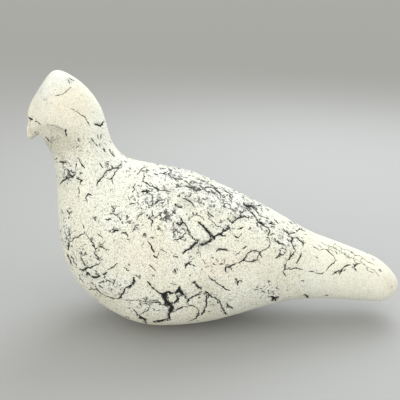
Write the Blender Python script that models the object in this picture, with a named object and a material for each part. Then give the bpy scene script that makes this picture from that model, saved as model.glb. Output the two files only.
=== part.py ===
# A dove statue: one solid figure of a resting dove on the flat of its belly.
# The head points to -X, the tail to +X and the figure stands on the plane z = 0.
import math

import bmesh
import bpy
import numpy as np
from mathutils import Vector

# Driving sizes in metres.
LENGTH = 0.200          # beak to tail; every share below is a share of it
FOOT_CUT = 0.0014       # depth ground off the round belly to make the flat foot

# Shares of LENGTH over which the blunt tail and the beak close to their tips.
TAIL_ROUND = 0.080
BEAK_ROUND = 0.010

# Numbers of points.
AROUND = 56             # points in a section
BODY_SECTIONS = 40      # sections from the rounded tail to the neck
HEAD_SECTIONS = 35      # closer sections from the neck to the rounded beak
TAIL_SECTIONS = 9       # steps in the rounded tail tip
BEAK_SECTIONS = 4       # steps in the rounded beak tip

# The sections fan from the tail over the back and round the throat to the beak.
# Each has its upper point and its lower point in the plane of symmetry, its half
# width and its fullness, which moves the widest place up (+) or down (-).
# Shares of LENGTH: upper x, upper z, lower x, lower z, half width; then fullness.
SECTIONS = {
    "tail tip": (0.521, 0.154, 0.526, 0.054, 0.052, 0.0),
    "tail end": (0.452, 0.185, 0.461, 0.059, 0.069, 0.0),
    "tail": (0.364, 0.222, 0.379, 0.066, 0.077, 0.0),
    "tail root": (0.273, 0.259, 0.293, 0.071, 0.091, 0.0),
    "rump": (0.189, 0.308, 0.203, 0.066, 0.117, -0.02),
    "back rear": (0.104, 0.355, 0.119, 0.047, 0.147, -0.04),
    "back": (0.020, 0.397, 0.025, 0.020, 0.169, -0.06),
    "mantle": (-0.055, 0.430, -0.079, 0.002, 0.181, -0.06),
    "shoulder": (-0.124, 0.446, -0.194, 0.006, 0.181, -0.06),
    "nape foot": (-0.184, 0.457, -0.290, 0.053, 0.171, -0.04),
    "nape": (-0.230, 0.473, -0.364, 0.126, 0.155, -0.02),
    "neck foot": (-0.258, 0.508, -0.406, 0.239, 0.129, 0.0),
    "neck": (-0.268, 0.545, -0.407, 0.373, 0.096, 0.0),
    "neck top": (-0.275, 0.578, -0.410, 0.454, 0.080, -0.05),
    "occiput": (-0.284, 0.606, -0.417, 0.493, 0.075, -0.15),
    "crown rear": (-0.308, 0.645, -0.427, 0.515, 0.074, -0.20),
    "crown middle": (-0.347, 0.681, -0.434, 0.529, 0.072, -0.25),
    "crown": (-0.394, 0.697, -0.438, 0.537, 0.067, -0.25),
    "forehead top": (-0.421, 0.671, -0.441, 0.539, 0.060, -0.25),
    "forehead": (-0.450, 0.630, -0.443, 0.537, 0.050, -0.20),
    "brow": (-0.466, 0.594, -0.447, 0.533, 0.037, -0.10),
    "beak root": (-0.467, 0.577, -0.451, 0.5305, 0.026, 0.0),
    "beak": (-0.474, 0.553, -0.457, 0.527, 0.019, 0.0),
    "beak tip": (-0.4745, 0.528, -0.464, 0.521, 0.014, 0.0),
}

HEAD_START = "neck"     # the section from which the sections lie closer

COAT_COLOUR = (0.80, 0.79, 0.70, 1.0)
COAT_ROUGHNESS = 0.9


def clear_scene():
    for item in list(bpy.data.objects):
        bpy.data.objects.remove(item, do_unlink=True)


def natural_spline(knots, values, places):
    """A cubic through the values at the knots, straight at both ends."""
    gaps = np.diff(knots)
    last = len(knots) - 1
    system = np.eye(last + 1)
    right = np.zeros_like(values)
    for i in range(1, last):
        system[i, i - 1] = gaps[i - 1]
        system[i, i] = 2.0 * (gaps[i - 1] + gaps[i])
        system[i, i + 1] = gaps[i]
        slope_after = (values[i + 1] - values[i]) / gaps[i]
        slope_before = (values[i] - values[i - 1]) / gaps[i - 1]
        right[i] = 6.0 * (slope_after - slope_before)
    bends = np.linalg.solve(system, right)
    span = np.clip(np.searchsorted(knots, places, side="right") - 1, 0, last - 1)
    gap = gaps[span][:, None]
    before = (knots[span + 1] - places)[:, None] / gap
    after = 1.0 - before
    line = before * values[span] + after * values[span + 1]
    bend = (before**3 - before) * bends[span] + (after**3 - after) * bends[span + 1]
    return line + bend * gap**2 / 6.0


def section_table():
    """The sections in metres and the distance along the figure to each of them."""
    table = np.array(list(SECTIONS.values()))
    table[:, 0:5] *= LENGTH
    table[:, [1, 3]] -= FOOT_CUT
    upper_steps = np.linalg.norm(np.diff(table[:, 0:2], axis=0), axis=1)
    lower_steps = np.linalg.norm(np.diff(table[:, 2:4], axis=0), axis=1)
    along = np.concatenate(([0.0], np.cumsum(np.maximum(upper_steps, lower_steps))))
    return along, table


def section_places(knots):
    """Distances along the figure: closer together in the head and in both rounded ends."""
    total = knots[-1]
    head_start = knots[list(SECTIONS).index(HEAD_START)]
    tail_turn = np.linspace(0.0, math.pi / 2.0, TAIL_SECTIONS + 1)[1:-1]
    beak_turn = np.linspace(math.pi / 2.0, 0.0, BEAK_SECTIONS + 1)[1:-1]
    tail_round = TAIL_ROUND * LENGTH
    beak_round = BEAK_ROUND * LENGTH
    tail = tail_round * (1.0 - np.cos(tail_turn))
    body = np.linspace(tail_round, head_start, BODY_SECTIONS + 1)[:-1]
    head = np.linspace(head_start, total - beak_round, HEAD_SECTIONS)
    beak = total - beak_round * (1.0 - np.cos(beak_turn))
    return np.concatenate((tail, body, head, beak))


def end_rounding(places, total):
    """1 along the figure, falling to 0 at both ends as a quarter circle does."""
    from_tail = np.clip(places / (TAIL_ROUND * LENGTH), 0.0, 1.0)
    from_beak = np.clip((total - places) / (BEAK_ROUND * LENGTH), 0.0, 1.0)
    return np.sqrt(1.0 - (1.0 - from_tail) ** 2) * np.sqrt(1.0 - (1.0 - from_beak) ** 2)


def make_rings():
    """Points of every section, and the two poles where the figure closes."""
    knots, table = section_table()
    total = knots[-1]
    places = section_places(knots)
    values = natural_spline(knots, table, places)
    rounding = end_rounding(places, total)
    centre = (values[:, 0:2] + values[:, 2:4]) / 2.0
    half = (values[:, 0:2] - values[:, 2:4]) / 2.0 * rounding[:, None]
    half_width = values[:, 4] * rounding
    fullness = values[:, 5]
    turn = np.arange(AROUND) * 2.0 * math.pi / AROUND
    up = np.cos(turn)[None, :] + fullness[:, None] * np.sin(turn)[None, :] ** 2
    rings = np.empty((len(places), AROUND, 3))
    rings[:, :, 0] = centre[:, 0:1] + half[:, 0:1] * up
    rings[:, :, 1] = -half_width[:, None] * np.sin(turn)[None, :]
    rings[:, :, 2] = centre[:, 1:2] + half[:, 1:2] * up
    ends = (table[[0, -1], 0:2] + table[[0, -1], 2:4]) / 2.0
    poles = [(ends[0, 0], 0.0, ends[0, 1]), (ends[1, 0], 0.0, ends[1, 1])]
    return rings, poles


def cut_foot(shell):
    """The small flat under the belly on which the figure stands."""
    near = LENGTH / 4000.0      # points this close to the floor are taken as on it
    for vert in shell.verts:
        if abs(vert.co.z) < near:
            vert.co.z = 0.0
    everything = shell.verts[:] + shell.edges[:] + shell.faces[:]
    cut = bmesh.ops.bisect_plane(
        shell,
        geom=everything,
        dist=near / 10.0,
        plane_co=(0.0, 0.0, 0.0),
        plane_no=(0.0, 0.0, 1.0),
        clear_inner=True,
    )
    rim = [item for item in cut["geom_cut"] if isinstance(item, bmesh.types.BMEdge)]
    bmesh.ops.edgeloop_fill(shell, edges=rim)


def make_dove():
    rings, poles = make_rings()
    shell = bmesh.new()
    verts = [[shell.verts.new(point) for point in ring] for ring in rings]
    for ring, following in zip(verts, verts[1:]):
        for i in range(AROUND):
            j = (i + 1) % AROUND
            shell.faces.new((ring[i], ring[j], following[j], following[i]))
    for ring, point in ((verts[0], poles[0]), (verts[-1], poles[1])):
        pole = shell.verts.new(point)
        for i in range(AROUND):
            shell.faces.new((pole, ring[i], ring[(i + 1) % AROUND]))
    cut_foot(shell)
    bmesh.ops.recalc_face_normals(shell, faces=shell.faces)
    mesh = bpy.data.meshes.new("dove")
    shell.to_mesh(mesh)
    shell.free()
    mesh.shade_smooth()
    mesh.set_sharp_from_angle(angle=math.radians(35.0))
    for edge in mesh.edges:
        if all(mesh.vertices[i].co.z == 0.0 for i in edge.vertices):
            edge.use_edge_sharp = True      # the rim of the foot
    return bpy.data.objects.new("dove", mesh)


def make_material(name, colour, roughness):
    material = bpy.data.materials.new(name)
    material.use_nodes = True
    surface = material.node_tree.nodes["Principled BSDF"]
    surface.inputs["Base Color"].default_value = colour
    surface.inputs["Roughness"].default_value = roughness
    return material


def centre_on_box(item):
    """Puts the middle of the figure's length and width on the origin."""
    corners = [Vector(corner) for corner in item.bound_box]
    middle_x = (corners[0].x + corners[6].x) / 2.0
    middle_y = (corners[0].y + corners[6].y) / 2.0
    for vert in item.data.vertices:
        vert.co.x -= middle_x
        vert.co.y -= middle_y


def main():
    clear_scene()
    collection = bpy.data.collections.new("dove_statue")
    bpy.context.scene.collection.children.link(collection)
    dove = make_dove()
    dove.data.materials.append(make_material("crackled coat", COAT_COLOUR, COAT_ROUGHNESS))
    collection.objects.link(dove)
    centre_on_box(dove)


main()
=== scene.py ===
import math
import bpy
import numpy as np
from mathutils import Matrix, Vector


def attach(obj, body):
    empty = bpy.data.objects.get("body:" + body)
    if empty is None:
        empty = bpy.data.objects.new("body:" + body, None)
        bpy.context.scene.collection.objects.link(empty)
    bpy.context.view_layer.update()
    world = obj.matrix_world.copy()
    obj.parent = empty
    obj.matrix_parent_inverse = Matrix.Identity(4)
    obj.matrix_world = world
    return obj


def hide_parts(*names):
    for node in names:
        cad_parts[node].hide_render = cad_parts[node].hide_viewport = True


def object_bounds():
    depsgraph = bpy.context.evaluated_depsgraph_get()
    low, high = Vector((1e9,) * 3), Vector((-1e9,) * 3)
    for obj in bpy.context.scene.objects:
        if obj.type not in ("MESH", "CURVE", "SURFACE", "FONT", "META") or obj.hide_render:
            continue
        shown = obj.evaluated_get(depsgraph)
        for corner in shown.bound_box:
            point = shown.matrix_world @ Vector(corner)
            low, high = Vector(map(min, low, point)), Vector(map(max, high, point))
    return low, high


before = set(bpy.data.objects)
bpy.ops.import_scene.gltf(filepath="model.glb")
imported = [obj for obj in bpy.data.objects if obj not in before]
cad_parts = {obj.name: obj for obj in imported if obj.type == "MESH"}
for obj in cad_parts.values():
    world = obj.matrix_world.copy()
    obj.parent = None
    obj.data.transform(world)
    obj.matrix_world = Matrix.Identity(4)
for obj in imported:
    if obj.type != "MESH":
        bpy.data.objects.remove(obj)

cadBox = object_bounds()
print("frame loaded, CAD box", [[round(v, 4) for v in corner] for corner in cadBox])

almostZero = 1e-12  # least size of a divisor


def addToScene(name, data):
    item = bpy.data.objects.new(name, data)
    bpy.context.scene.collection.objects.link(item)
    return item


# camera: it looks down on the left side of the bird
photo = {
    "size": 400.0,  # pixels
    "elevation": 20.0,  # degrees above the horizon
    "distance": 0.3325,  # metres from the aim
    "aim": (-0.0110, 0.0, 0.0695),
    "lens": 56.0,  # mm
    "sensor": 36.0,
    "clipStart": 0.01,
}

focalPixels = photo["lens"] / photo["sensor"] * photo["size"]
pixelSize = photo["distance"] / focalPixels  # metres at the aim


def cameraBasis():
    # right, up and back of a camera that looks along +Y and down by the elevation
    tilt = math.radians(photo["elevation"])
    right = np.array([1.0, 0.0, 0.0])
    up = np.array([0.0, math.sin(tilt), math.cos(tilt)])
    back = np.array([0.0, -math.cos(tilt), math.sin(tilt)])
    return right, up, back


def cameraPlace():
    return np.array(photo["aim"]) + cameraBasis()[2] * photo["distance"]


def toPhoto(points):
    # pinhole projection: pixel = centre + focal length in pixels * offset / depth
    right, up, back = cameraBasis()
    offset = points - cameraPlace()
    depth = -offset @ back
    middle = photo["size"] / 2.0
    return np.stack((middle + focalPixels * (offset @ right) / depth,
                     middle - focalPixels * (offset @ up) / depth), axis=-1)


def makeCamera():
    data = bpy.data.cameras.new("photoCamera")
    data.lens = photo["lens"]
    data.sensor_width = photo["sensor"]
    data.clip_start = photo["clipStart"]
    camera = addToScene("photoCamera", data)
    camera.location = cameraPlace()
    camera.rotation_euler = (math.radians(90.0 - photo["elevation"]), 0.0, 0.0)
    bpy.context.scene.camera = camera


makeCamera()
print("camera made")


# the bird's form: the same loft as the solid, with a finer grid
birdForm = {
    "length": 0.200,
    "footCut": 0.0014,
    "tailRound": 0.080,
    "beakRound": 0.010,
    "bodyRows": 236,  # sections from the rounded tail to the neck
    "headRows": 118,  # closer sections from the neck to the rounded beak
    "headStart": "neck",
    "tailRows": 22,
    "beakRows": 7,
    "columns": 260,  # points in a section
    "nearSide": 1.7,  # how much closer the points lie on the side that shows
    "nearSideAt": 70.0,  # degrees round the section to the closest points
    "nearSideBell": 1.5,  # how narrow that crowding is
    "turnSteps": 2001,
    "sections": {
        # upper x, upper z, lower x, lower z, half width as shares of the length; fullness
        "tailTip": (0.521, 0.154, 0.526, 0.054, 0.052, 0.0),
        "tailEnd": (0.452, 0.185, 0.461, 0.059, 0.069, 0.0),
        "tail": (0.364, 0.222, 0.379, 0.066, 0.077, 0.0),
        "tailRoot": (0.273, 0.259, 0.293, 0.071, 0.091, 0.0),
        "rump": (0.189, 0.308, 0.203, 0.066, 0.117, -0.02),
        "backRear": (0.104, 0.355, 0.119, 0.047, 0.147, -0.04),
        "back": (0.020, 0.397, 0.025, 0.020, 0.169, -0.06),
        "mantle": (-0.055, 0.430, -0.079, 0.002, 0.181, -0.06),
        "shoulder": (-0.124, 0.446, -0.194, 0.006, 0.181, -0.06),
        "napeFoot": (-0.184, 0.457, -0.290, 0.053, 0.171, -0.04),
        "nape": (-0.230, 0.473, -0.364, 0.126, 0.155, -0.02),
        "neckFoot": (-0.258, 0.508, -0.406, 0.239, 0.129, 0.0),
        "neck": (-0.268, 0.545, -0.407, 0.373, 0.096, 0.0),
        "neckTop": (-0.275, 0.578, -0.410, 0.454, 0.080, -0.05),
        "occiput": (-0.284, 0.606, -0.417, 0.493, 0.075, -0.15),
        "crownRear": (-0.308, 0.645, -0.427, 0.515, 0.074, -0.20),
        "crownMiddle": (-0.347, 0.681, -0.434, 0.529, 0.072, -0.25),
        "crown": (-0.394, 0.697, -0.438, 0.537, 0.067, -0.25),
        "foreheadTop": (-0.421, 0.671, -0.441, 0.539, 0.060, -0.25),
        "forehead": (-0.450, 0.630, -0.443, 0.537, 0.050, -0.20),
        "brow": (-0.466, 0.594, -0.447, 0.533, 0.037, -0.10),
        "beakRoot": (-0.467, 0.577, -0.451, 0.5305, 0.026, 0.0),
        "beak": (-0.474, 0.553, -0.457, 0.527, 0.019, 0.0),
        "beakTip": (-0.4745, 0.528, -0.464, 0.521, 0.014, 0.0),
    },
}


def naturalSpline(knots, values, places):
    # cubic through the values, with second slopes from one linear system
    gaps = np.diff(knots)
    last = len(knots) - 1
    system = np.eye(last + 1)
    right = np.zeros_like(values)
    inner = np.arange(1, last)
    system[inner, inner - 1] = gaps[:-1]
    system[inner, inner] = 2.0 * (gaps[:-1] + gaps[1:])
    system[inner, inner + 1] = gaps[1:]
    slopes = np.diff(values, axis=0) / gaps[:, None]
    right[inner] = 6.0 * np.diff(slopes, axis=0)
    bends = np.linalg.solve(system, right)
    span = np.clip(np.searchsorted(knots, places, side="right") - 1, 0, last - 1)
    gap = gaps[span][:, None]
    before = (knots[span + 1] - places)[:, None] / gap
    after = 1.0 - before
    line = before * values[span] + after * values[span + 1]
    bend = (before**3 - before) * bends[span] + (after**3 - after) * bends[span + 1]
    return line + bend * gap**2 / 6.0


def sectionPlaces(knots):
    # distances along the form, and the rounding: 1, falling to 0 at both ends as a quarter circle
    total = knots[-1]
    headStart = knots[list(birdForm["sections"]).index(birdForm["headStart"])]
    tailRound = birdForm["tailRound"] * birdForm["length"]
    beakRound = birdForm["beakRound"] * birdForm["length"]
    tailTurn = np.linspace(0.0, math.pi / 2.0, birdForm["tailRows"] + 1)[1:-1]
    beakTurn = np.linspace(math.pi / 2.0, 0.0, birdForm["beakRows"] + 1)[1:-1]
    places = np.concatenate((tailRound * (1.0 - np.cos(tailTurn)),
                             np.linspace(tailRound, headStart, birdForm["bodyRows"] + 1)[:-1],
                             np.linspace(headStart, total - beakRound, birdForm["headRows"]),
                             total - beakRound * (1.0 - np.cos(beakTurn))))
    fromTail = np.clip(places / tailRound, 0.0, 1.0)
    fromBeak = np.clip((total - places) / beakRound, 0.0, 1.0)
    rounding = np.sqrt(1.0 - (1.0 - fromTail) ** 2) * np.sqrt(1.0 - (1.0 - fromBeak) ** 2)
    return places, rounding


def columnTurns():
    # angles round a section, crowded on the near side: density 1 + nearSide * a bell
    fine = np.linspace(0.0, 2.0 * math.pi, birdForm["turnSteps"])
    bell = 0.5 + 0.5 * np.cos(fine - math.radians(birdForm["nearSideAt"]))
    bell = bell ** birdForm["nearSideBell"]
    density = 1.0 + birdForm["nearSide"] * (bell[1:] + bell[:-1]) / 2.0
    sums = np.concatenate(([0.0], np.cumsum(density)))
    share = np.arange(birdForm["columns"]) / birdForm["columns"]
    return np.interp(share * sums[-1], sums, fine)


def birdGrid():
    # a section: centre + half height * (cos t + fullness * sin^2 t) up, - half width * sin t across
    table = np.array(list(birdForm["sections"].values()))
    table[:, 0:5] *= birdForm["length"]
    table[:, [1, 3]] -= birdForm["footCut"]
    upperSteps = np.linalg.norm(np.diff(table[:, 0:2], axis=0), axis=1)
    lowerSteps = np.linalg.norm(np.diff(table[:, 2:4], axis=0), axis=1)
    knots = np.concatenate(([0.0], np.cumsum(np.maximum(upperSteps, lowerSteps))))
    places, rounding = sectionPlaces(knots)
    values = naturalSpline(knots, table, places)
    turn = columnTurns()
    centre = (values[:, 0:2] + values[:, 2:4]) / 2.0
    half = (values[:, 0:2] - values[:, 2:4]) / 2.0 * rounding[:, None]
    up = np.cos(turn)[None, :] + values[:, 5:6] * np.sin(turn)[None, :] ** 2
    grid = np.empty((len(places), len(turn), 3))
    grid[:, :, 0] = centre[:, 0:1] + half[:, 0:1] * up
    grid[:, :, 1] = -(values[:, 4] * rounding)[:, None] * np.sin(turn)[None, :]
    grid[:, :, 2] = np.maximum(centre[:, 1:2] + half[:, 1:2] * up, 0.0)
    poles = np.zeros((2, 3))
    poles[:, [0, 2]] = (table[[0, -1], 0:2] + table[[0, -1], 2:4]) / 2.0
    low = min(grid[:, :, 0].min(), poles[:, 0].min())
    high = max(grid[:, :, 0].max(), poles[:, 0].max())
    grid[:, :, 0] -= (low + high) / 2.0
    poles[:, 0] -= (low + high) / 2.0
    return grid, poles


def gridTangents(grid):
    # differences between neighbours along the rows and, closed, round the columns
    alongRows = np.gradient(grid, axis=0)
    roundColumns = (np.roll(grid, -1, axis=1) - np.roll(grid, 1, axis=1)) / 2.0
    normal = np.cross(alongRows, roundColumns)
    normal /= np.maximum(np.linalg.norm(normal, axis=-1, keepdims=True), almostZero)
    fromMiddle = grid - grid.mean(axis=1, keepdims=True)
    outward = np.sign((fromMiddle * normal).sum(axis=-1, keepdims=True).mean())
    return alongRows, roundColumns, normal * outward


smoothGrid, smoothPoles = birdGrid()
alongRows, roundColumns, smoothNormal = gridTangents(smoothGrid)
gridPixels = toPhoto(smoothGrid)
toCamera = cameraPlace() - smoothGrid
facing = (toCamera * smoothNormal).sum(axis=-1) / np.linalg.norm(toCamera, axis=-1)
print("form worked out,", smoothGrid.shape[0], "rows of", smoothGrid.shape[1])


# cracks that show in the photograph, all in pixels: half width, then x and y of each point
shownCracks = {
    "head": {
        "browLine": (0.28, 56, 95.5, 60, 94.5, 65, 92.5, 71, 87.5),
        "browSpot": (0.3, 68.5, 79, 69.6, 82.5),
        "crownSpot": (0.25, 70, 77.5, 74, 80.5),
        "cheekLine": (0.34, 72, 109, 76, 111, 79.6, 113.5, 83.5, 116.5, 87, 120),
        "cheekEnd": (0.3, 87.5, 121.5, 89, 124.6),
        "napeMark": (0.9, 94.5, 124, 98, 124.5, 100.5, 125.5, 103, 123.5, 104.5, 121.5),
        "beakRootUpper": (0.95, 28.6, 118, 30.5, 118.8, 32, 119.8),
        "beakRootLower": (0.62, 35.2, 121.6, 37.3, 122.6, 39.3, 124),
        "jawCrease": (0.10, 47, 125, 52, 125.4, 58, 127.3, 63, 130.3),
        "jawSpot": (0.8, 66, 130, 65.6, 133, 65.8, 135.5),
        "throatFaint": (0.4, 45, 139, 47.5, 141),
        "neckSpotA": (0.5, 98, 135.5, 98.5, 137.5),
        "neckSpotB": (0.4, 101.5, 135, 101, 138),
        "neckLine": (0.4, 92, 139, 95, 143, 98, 146),
        "neckSpotC": (0.6, 104, 149, 105, 150.5),
        "neckSpotD": (0.5, 78, 139, 79, 140.5),
        "neckSpotE": (0.4, 76.5, 147.5, 78.5, 146),
    },
    "neckFoot": {
        "throatMark": (0.9, 59.5, 162, 62.5, 162.8, 65.5, 163),
        "throatCurl": (0.45, 54.5, 160, 57, 158.5),
        "neckHook": (0.6, 79, 159, 79.6, 161.5, 81.5, 164.8, 84, 167.5),
        "neckFork": (0.5, 75, 169, 75.5, 166.5, 76, 164),
        "neckForkB": (0.5, 67, 169.5, 69, 172),
        "collarCrack": (0.8, 59.5, 184, 62, 181, 66.5, 178.5, 70.5, 177, 74, 175, 75, 171.5),
        "collarCrackB": (0.6, 66, 176.8, 68.5, 179.3),
        "collarCrackC": (0.6, 70, 174.5, 72.5, 178),
        "collarBlob": (1.0, 77, 178.5, 80, 180, 81.5, 180.5),
        "collarBlobTail": (0.5, 80, 180, 80, 184),
        "collarDots": (0.4, 78.5, 188, 78.8, 193),
        "branch": (0.65, 96.5, 185.5, 97.5, 183, 102, 178, 104.5, 173, 109, 169.5, 114, 168, 119, 167),
        "branchTip": (0.7, 111.5, 165.5, 115, 168, 118.5, 167),
        "branchTipB": (0.4, 117.5, 169.5, 120, 167.8, 122, 166.2),
        "branchLoop": (0.5, 117, 169.5, 115, 173, 113, 176.5, 110.5, 178.8, 107.5, 178.5),
        "branchLoopTail": (0.35, 112.3, 178, 113, 183),
        "shoulderTick": (0.6, 91, 195, 88, 194.5, 85.5, 198, 87, 201.5),
        "shoulderFaint": (0.3, 100, 163.5, 103, 167.5),
        "napeFaint": (0.5, 110, 150, 112, 153, 114, 156.5),
    },
    "shoulder": {
        "lineA": (0.5, 135, 184, 133, 187.5, 135, 189.5, 132.5, 191.5),
        "lineB": (0.45, 128, 196, 129.5, 199.5),
        "lineC": (0.45, 137, 174.5, 140, 170.5, 144.5, 167),
        "lineD": (0.55, 145, 176, 143, 181, 146, 182.5, 150, 185.5, 157, 188.5, 164, 190, 170, 191.5),
        "lineE": (0.45, 144, 173, 144, 176),
        "blobA": (1.0, 142, 191.5, 144, 191, 146, 190.2, 148.5, 192.5),
        "lineF": (0.6, 148.5, 192.5, 152, 194.5, 152.8, 198, 153, 202, 152, 205, 149, 205, 146.8, 202),
        "lineG": (0.6, 153, 204.5, 156, 202, 158, 200.5, 162, 200),
        "lineH": (0.45, 147, 202, 148.5, 205),
        "lineI": (0.35, 130, 204, 132.5, 203.2, 135, 204),
        "lineJ": (0.55, 110.5, 213.5, 114, 214, 116.5, 215.5, 119, 213.5),
        "lineK": (0.55, 116.5, 215.5, 119, 217.5, 120.5, 219.5),
        "lineL": (0.7, 106, 219.5, 108, 220, 110, 219),
        "lineM": (0.7, 113, 232, 115, 230, 118, 230.5),
        "lineN": (0.7, 122, 233, 126, 233, 127.5, 236),
        "lineO": (0.7, 98.5, 235, 101.5, 237.2),
        "lineP": (0.55, 137, 219, 138, 216.5, 140, 214.5, 144, 213),
        "lineQ": (0.5, 133, 231, 134.5, 228, 135, 225, 138, 225),
        "lineR": (0.6, 161, 173, 168, 173, 173, 176.5, 176, 178, 178, 181),
        "lineS": (0.5, 175, 187, 179, 186.4, 183, 185.5, 190, 187, 196, 188),
        "lineT": (0.5, 202, 187.5, 206, 187, 210, 187, 216, 189.5, 219.5, 192, 223, 195),
        "lineU": (0.5, 185, 180.5, 188, 183, 191, 185),
        "lineV": (0.4, 180, 174.5, 184, 176.5, 188, 177),
        "lineW": (1.4, 176, 204.5, 178.5, 206, 181, 206.8),
        "lineX": (0.45, 183, 198, 186, 199, 189, 200.5, 192, 203, 194.5, 207.5),
        "lineY": (0.6, 173, 211, 175, 213.5),
        "lineZ": (0.6, 152, 211, 152.2, 216, 149, 218, 153, 221, 152, 226),
        "edgeA": (0.4, 197, 178.5, 204, 180.5, 212, 181.5),
        "edgeB": (0.4, 214, 188, 220, 193, 226, 198.5),
        "edgeC": (0.35, 222, 187.5, 228, 192, 233, 197),
        "midA": (0.5, 208, 211, 210, 214, 213, 216.5),
        "midB": (0.55, 209, 218.5, 213, 221.5, 216, 225, 218, 226.5, 220, 226),
        "midC": (0.5, 193.5, 215, 197, 214.8, 200, 215.5, 204, 219.5),
        "midD": (0.9, 229, 219, 232, 222, 236, 219.5, 240, 217),
    },
    "fork": {
        "leftLimb": (0.55, 180, 217, 181.5, 220.5, 184.5, 223, 187.5, 227.5, 188.4, 231.5),
        "leftLimbLow": (0.5, 187.5, 229, 186, 231.5, 184.5, 233.5, 183, 237, 179, 238.5, 174, 240),
        "leftLimbEnd": (0.75, 188.6, 232, 190.5, 235.5, 193, 238.5, 196.5, 240.5),
        "leftSmudge": (0.9, 177.5, 222.5, 179.5, 225.5, 181.5, 224),
        "leftTicks": (0.5, 173, 223, 174.5, 229, 173.5, 233),
        "rightLimb": (1.0, 198.6, 222, 201.3, 224.3, 204, 226.8, 206.5, 229.3),
        "rightLimbEnd": (1.7, 206, 228.8, 208.6, 231.6, 211.4, 234.8, 214.2, 238.2),
        "rightKnot": (1.9, 211.6, 236.2, 214.2, 236.8),
        "rightArm": (1.0, 213.5, 236.8, 216.5, 235.2, 219.5, 234, 222, 233),
        "rightArmEnd": (0.6, 221.5, 233.2, 224.5, 231.4, 227, 229.8, 229.5, 228),
        "rightArmBlob": (1.0, 223.5, 230, 226, 229.3),
        "cross": (1.3, 213.2, 238, 210.6, 241, 207.5, 243, 204, 244.2, 199.4, 245),
        "foot": (1.7, 198, 241, 196, 243.8, 193, 246.4),
        "footEnd": (1.1, 193, 246.4, 188.5, 249.8, 183.5, 253),
        "drop": (0.4, 198.5, 246, 198.5, 250, 200, 253.5, 200.6, 257),
        "dropEnd": (0.35, 202.5, 259.5, 204, 261, 205.5, 264),
    },
    "flank": {
        "tickA": (0.9, 217, 251, 220, 248.8, 224, 249.5, 227.8, 250.6),
        "tickB": (0.5, 147.5, 241.5, 150.5, 244.5),
        "tickC": (0.85, 151.5, 246.5, 153, 250.5),
        "tickD": (0.4, 161, 249.5, 163.5, 250.5, 166, 252.5),
        "tickE": (0.6, 153.5, 255.5, 156.5, 257.5, 158.5, 253.8),
        "tickF": (0.75, 174, 256.5, 177, 257.3),
        "tickG": (0.75, 185, 267.8, 185.8, 265.2, 188.5, 263, 190.5, 264.6),
        "tickH": (0.6, 193, 265, 195.5, 266.6),
        "tickI": (0.5, 150, 265, 153, 268.5, 155.5, 271),
        "tickJ": (0.85, 175, 269.5, 175.5, 272.3),
        "tickK": (0.55, 213.5, 264, 215.5, 265),
        "tickL": (0.5, 219.5, 264.5, 223, 264.3),
        "tickM": (0.4, 171, 283.5, 176, 284.5),
        "netA": (0.68, 225.6, 272, 225.4, 269.3, 226.5, 266.8, 229.5, 267.3, 231, 265.5, 234, 264.6,
                       237.5, 263),
        "netB": (0.45, 230.5, 267.3, 231.8, 270),
        "netC": (0.78, 237.5, 263.3, 240, 262.5, 242.5, 261, 245, 258.2, 248, 254.2, 251, 251.6,
                       255, 250.8, 259.5, 252),
        "netD": (0.42, 259.5, 252, 264, 249.6, 269, 247.4, 270.4, 243, 269.3, 238, 266, 237.4),
        "loop": (0.5, 245, 261.3, 251, 262.4, 257, 260, 258.8, 255.5, 259.5, 252.5, 261.8, 257.3),
        "crest": (0.5, 268, 235, 270, 232, 268.6, 228, 263.8, 225.2),
        "crestBlobs": (1.1, 260, 222.5, 261.5, 222.8, 264, 225.3),
        "crestLine": (0.7, 249, 208, 254, 214, 257.5, 220, 260, 222.5),
        "hollow": (1.5, 245.5, 204, 248, 205.3, 250.5, 204.8),
        "hollowTail": (0.6, 250.5, 204.8, 255, 204.6, 261, 204.2),
        "smudge": (0.75, 234.5, 220.5, 237, 218.8, 240.5, 217, 245, 216),
        "smudgeEnd": (0.5, 246, 217, 249.5, 217, 252.5, 217.8),
        "smudgeArm": (0.6, 240, 215, 242, 212.5, 244, 210.5),
        "smudgeFoot": (0.7, 229, 220, 231, 221.5, 234, 222),
        "ledge": (0.5, 252, 205.5, 256, 209.5, 259, 214, 262.5, 217),
        "coalA": (1.0, 223.8, 231, 226.3, 230.2, 228.8, 228.6),
        "coalB": (0.8, 222, 235.4, 225, 236),
        "coalC": (0.7, 235, 236, 238.5, 238, 241, 234),
        "coalD": (0.5, 238, 229, 243, 227.5),
        "coalE": (0.7, 269, 223.5, 272, 223, 275, 224.3),
        "coalF": (0.4, 275, 220, 277, 222, 279, 223.5),
        "coalG": (0.5, 243.5, 248, 246, 246.5),
        "coalH": (0.35, 236, 255, 239.5, 252),
        "dropA": (0.3, 226, 249.8, 229, 251),
        "speckA": (0.5, 125, 268, 126.5, 268.6),
        "speckB": (0.45, 128.6, 264, 129.4, 265),
        "speckC": (0.45, 127, 270.3, 128.3, 270.8),
        "speckD": (0.45, 127.4, 239.2, 128.7, 239.9),
    },
    "rump": {
        "lineA": (0.8, 284, 229, 287, 231.5, 289.5, 233.4, 292.5, 237.5, 292.4, 243, 294, 247,
                       295.6, 251),
        "lineB": (0.6, 295.6, 251, 291, 256, 287, 261, 285.6, 266, 284.4, 269),
        "lineC": (0.7, 289.5, 233.3, 292, 232.6, 295, 232.5),
        "lineD": (0.6, 293, 237.5, 298, 237, 301, 241, 305, 242.6),
        "lineE": (0.6, 301, 253, 300, 258, 297, 262.8),
        "lineF": (0.45, 297.5, 230.3, 300, 228.5, 303, 229.6),
        "lineG": (0.5, 284.5, 268.7, 289, 269.2, 294, 268.5, 298, 268.4, 302, 269.5),
        "lineH": (0.35, 284.4, 269, 283, 272, 286, 276),
        "ring": (0.35, 280, 249, 283, 248, 285, 249.4, 285.4, 253, 282.5, 255, 279.5, 253.5, 280, 249),
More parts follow.
